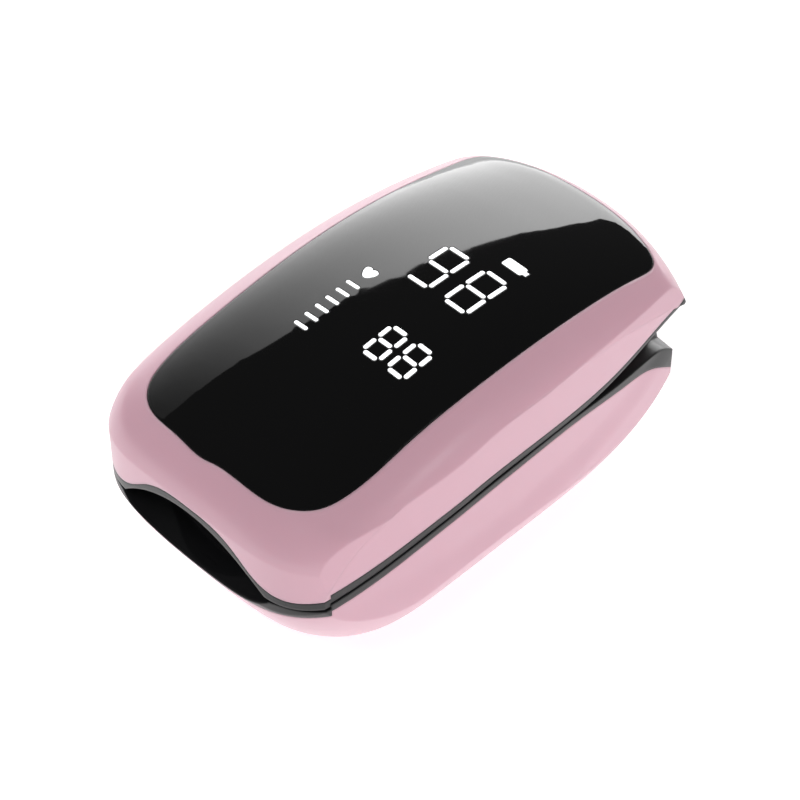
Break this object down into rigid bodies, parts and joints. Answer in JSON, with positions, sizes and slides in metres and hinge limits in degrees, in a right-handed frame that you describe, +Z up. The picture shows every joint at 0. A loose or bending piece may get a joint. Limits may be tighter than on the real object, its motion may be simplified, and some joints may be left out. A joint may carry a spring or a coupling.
{
  "type": "fingertip pulse oximeter",
  "caption": "Fingertip pulse oximeter: two hinged pink half shells with a black glass display, finger pads, springs, cells and a battery door.",
  "frame": {"origin": "on the table, under the middle of the closed body", "axes": "+Z up, +Y along the body from the finger opening toward the squeezed tail, +X to the right of the finger"},
  "size_m": [0.0356, 0.06, 0.03],
  "materials": {
    "pink_shell": "satin",
    "black_glass": "polished",
    "black_tape": "matte",
    "lit_marks": "emissive",
    "black_plastic": "satin",
    "black_silicone": "matte",
    "clear_window": "polished",
    "led_body": "satin",
    "chip_black": "matte",
    "board_green": "satin",
    "display_body": "matte",
    "copper": "satin",
    "steel": "satin",
    "spring_steel": "satin",
    "cell_wrap": "gloss",
    "nickel_plate": "satin"
  },
  "bodies": {
    "base": {"lower_shell": "pink_shell", "lower_frame": "black_plastic", "lower_pad": "black_silicone", "detector_window": "clear_window", "photodiode": "chip_black", "sensor_board": "board_green", "hinge_pin": "steel", "torsion_springs": "spring_steel", "cell_left": "cell_wrap", "cell_right": "cell_wrap", "battery_contacts": "nickel_plate", "battery_springs": "nickel_plate"},
    "jaw": {"upper_shell": "pink_shell", "display_lens": "black_glass", "lens_gasket": "black_tape", "digits": "lit_marks", "pulse_bars": "lit_marks", "icons": "lit_marks", "upper_frame": "black_plastic", "upper_pad": "black_silicone", "emitter_window": "clear_window", "emitter_led": "led_body", "main_board": "board_green", "display_module": "display_body", "processor_chip": "chip_black", "buzzer": "chip_black", "touch_electrode": "copper", "board_screws": "steel"},
    "door": {"battery_door": "pink_shell"}
  },
  "joints": [
    {"name": "jaw_hinge", "type": "hinge", "parent": "base", "child": "jaw", "pos_m": [0, 0.009, 0.0183], "axis": [-1, 0, 0], "range_deg": [0, 12], "stiffness_Nm_per_rad": 0.15, "springref_deg": -20.05},
    {"name": "battery_door_lift", "type": "slide", "parent": "base", "child": "door", "axis": [0, 0, -1], "range_m": [0, 0.02]}
  ]
}
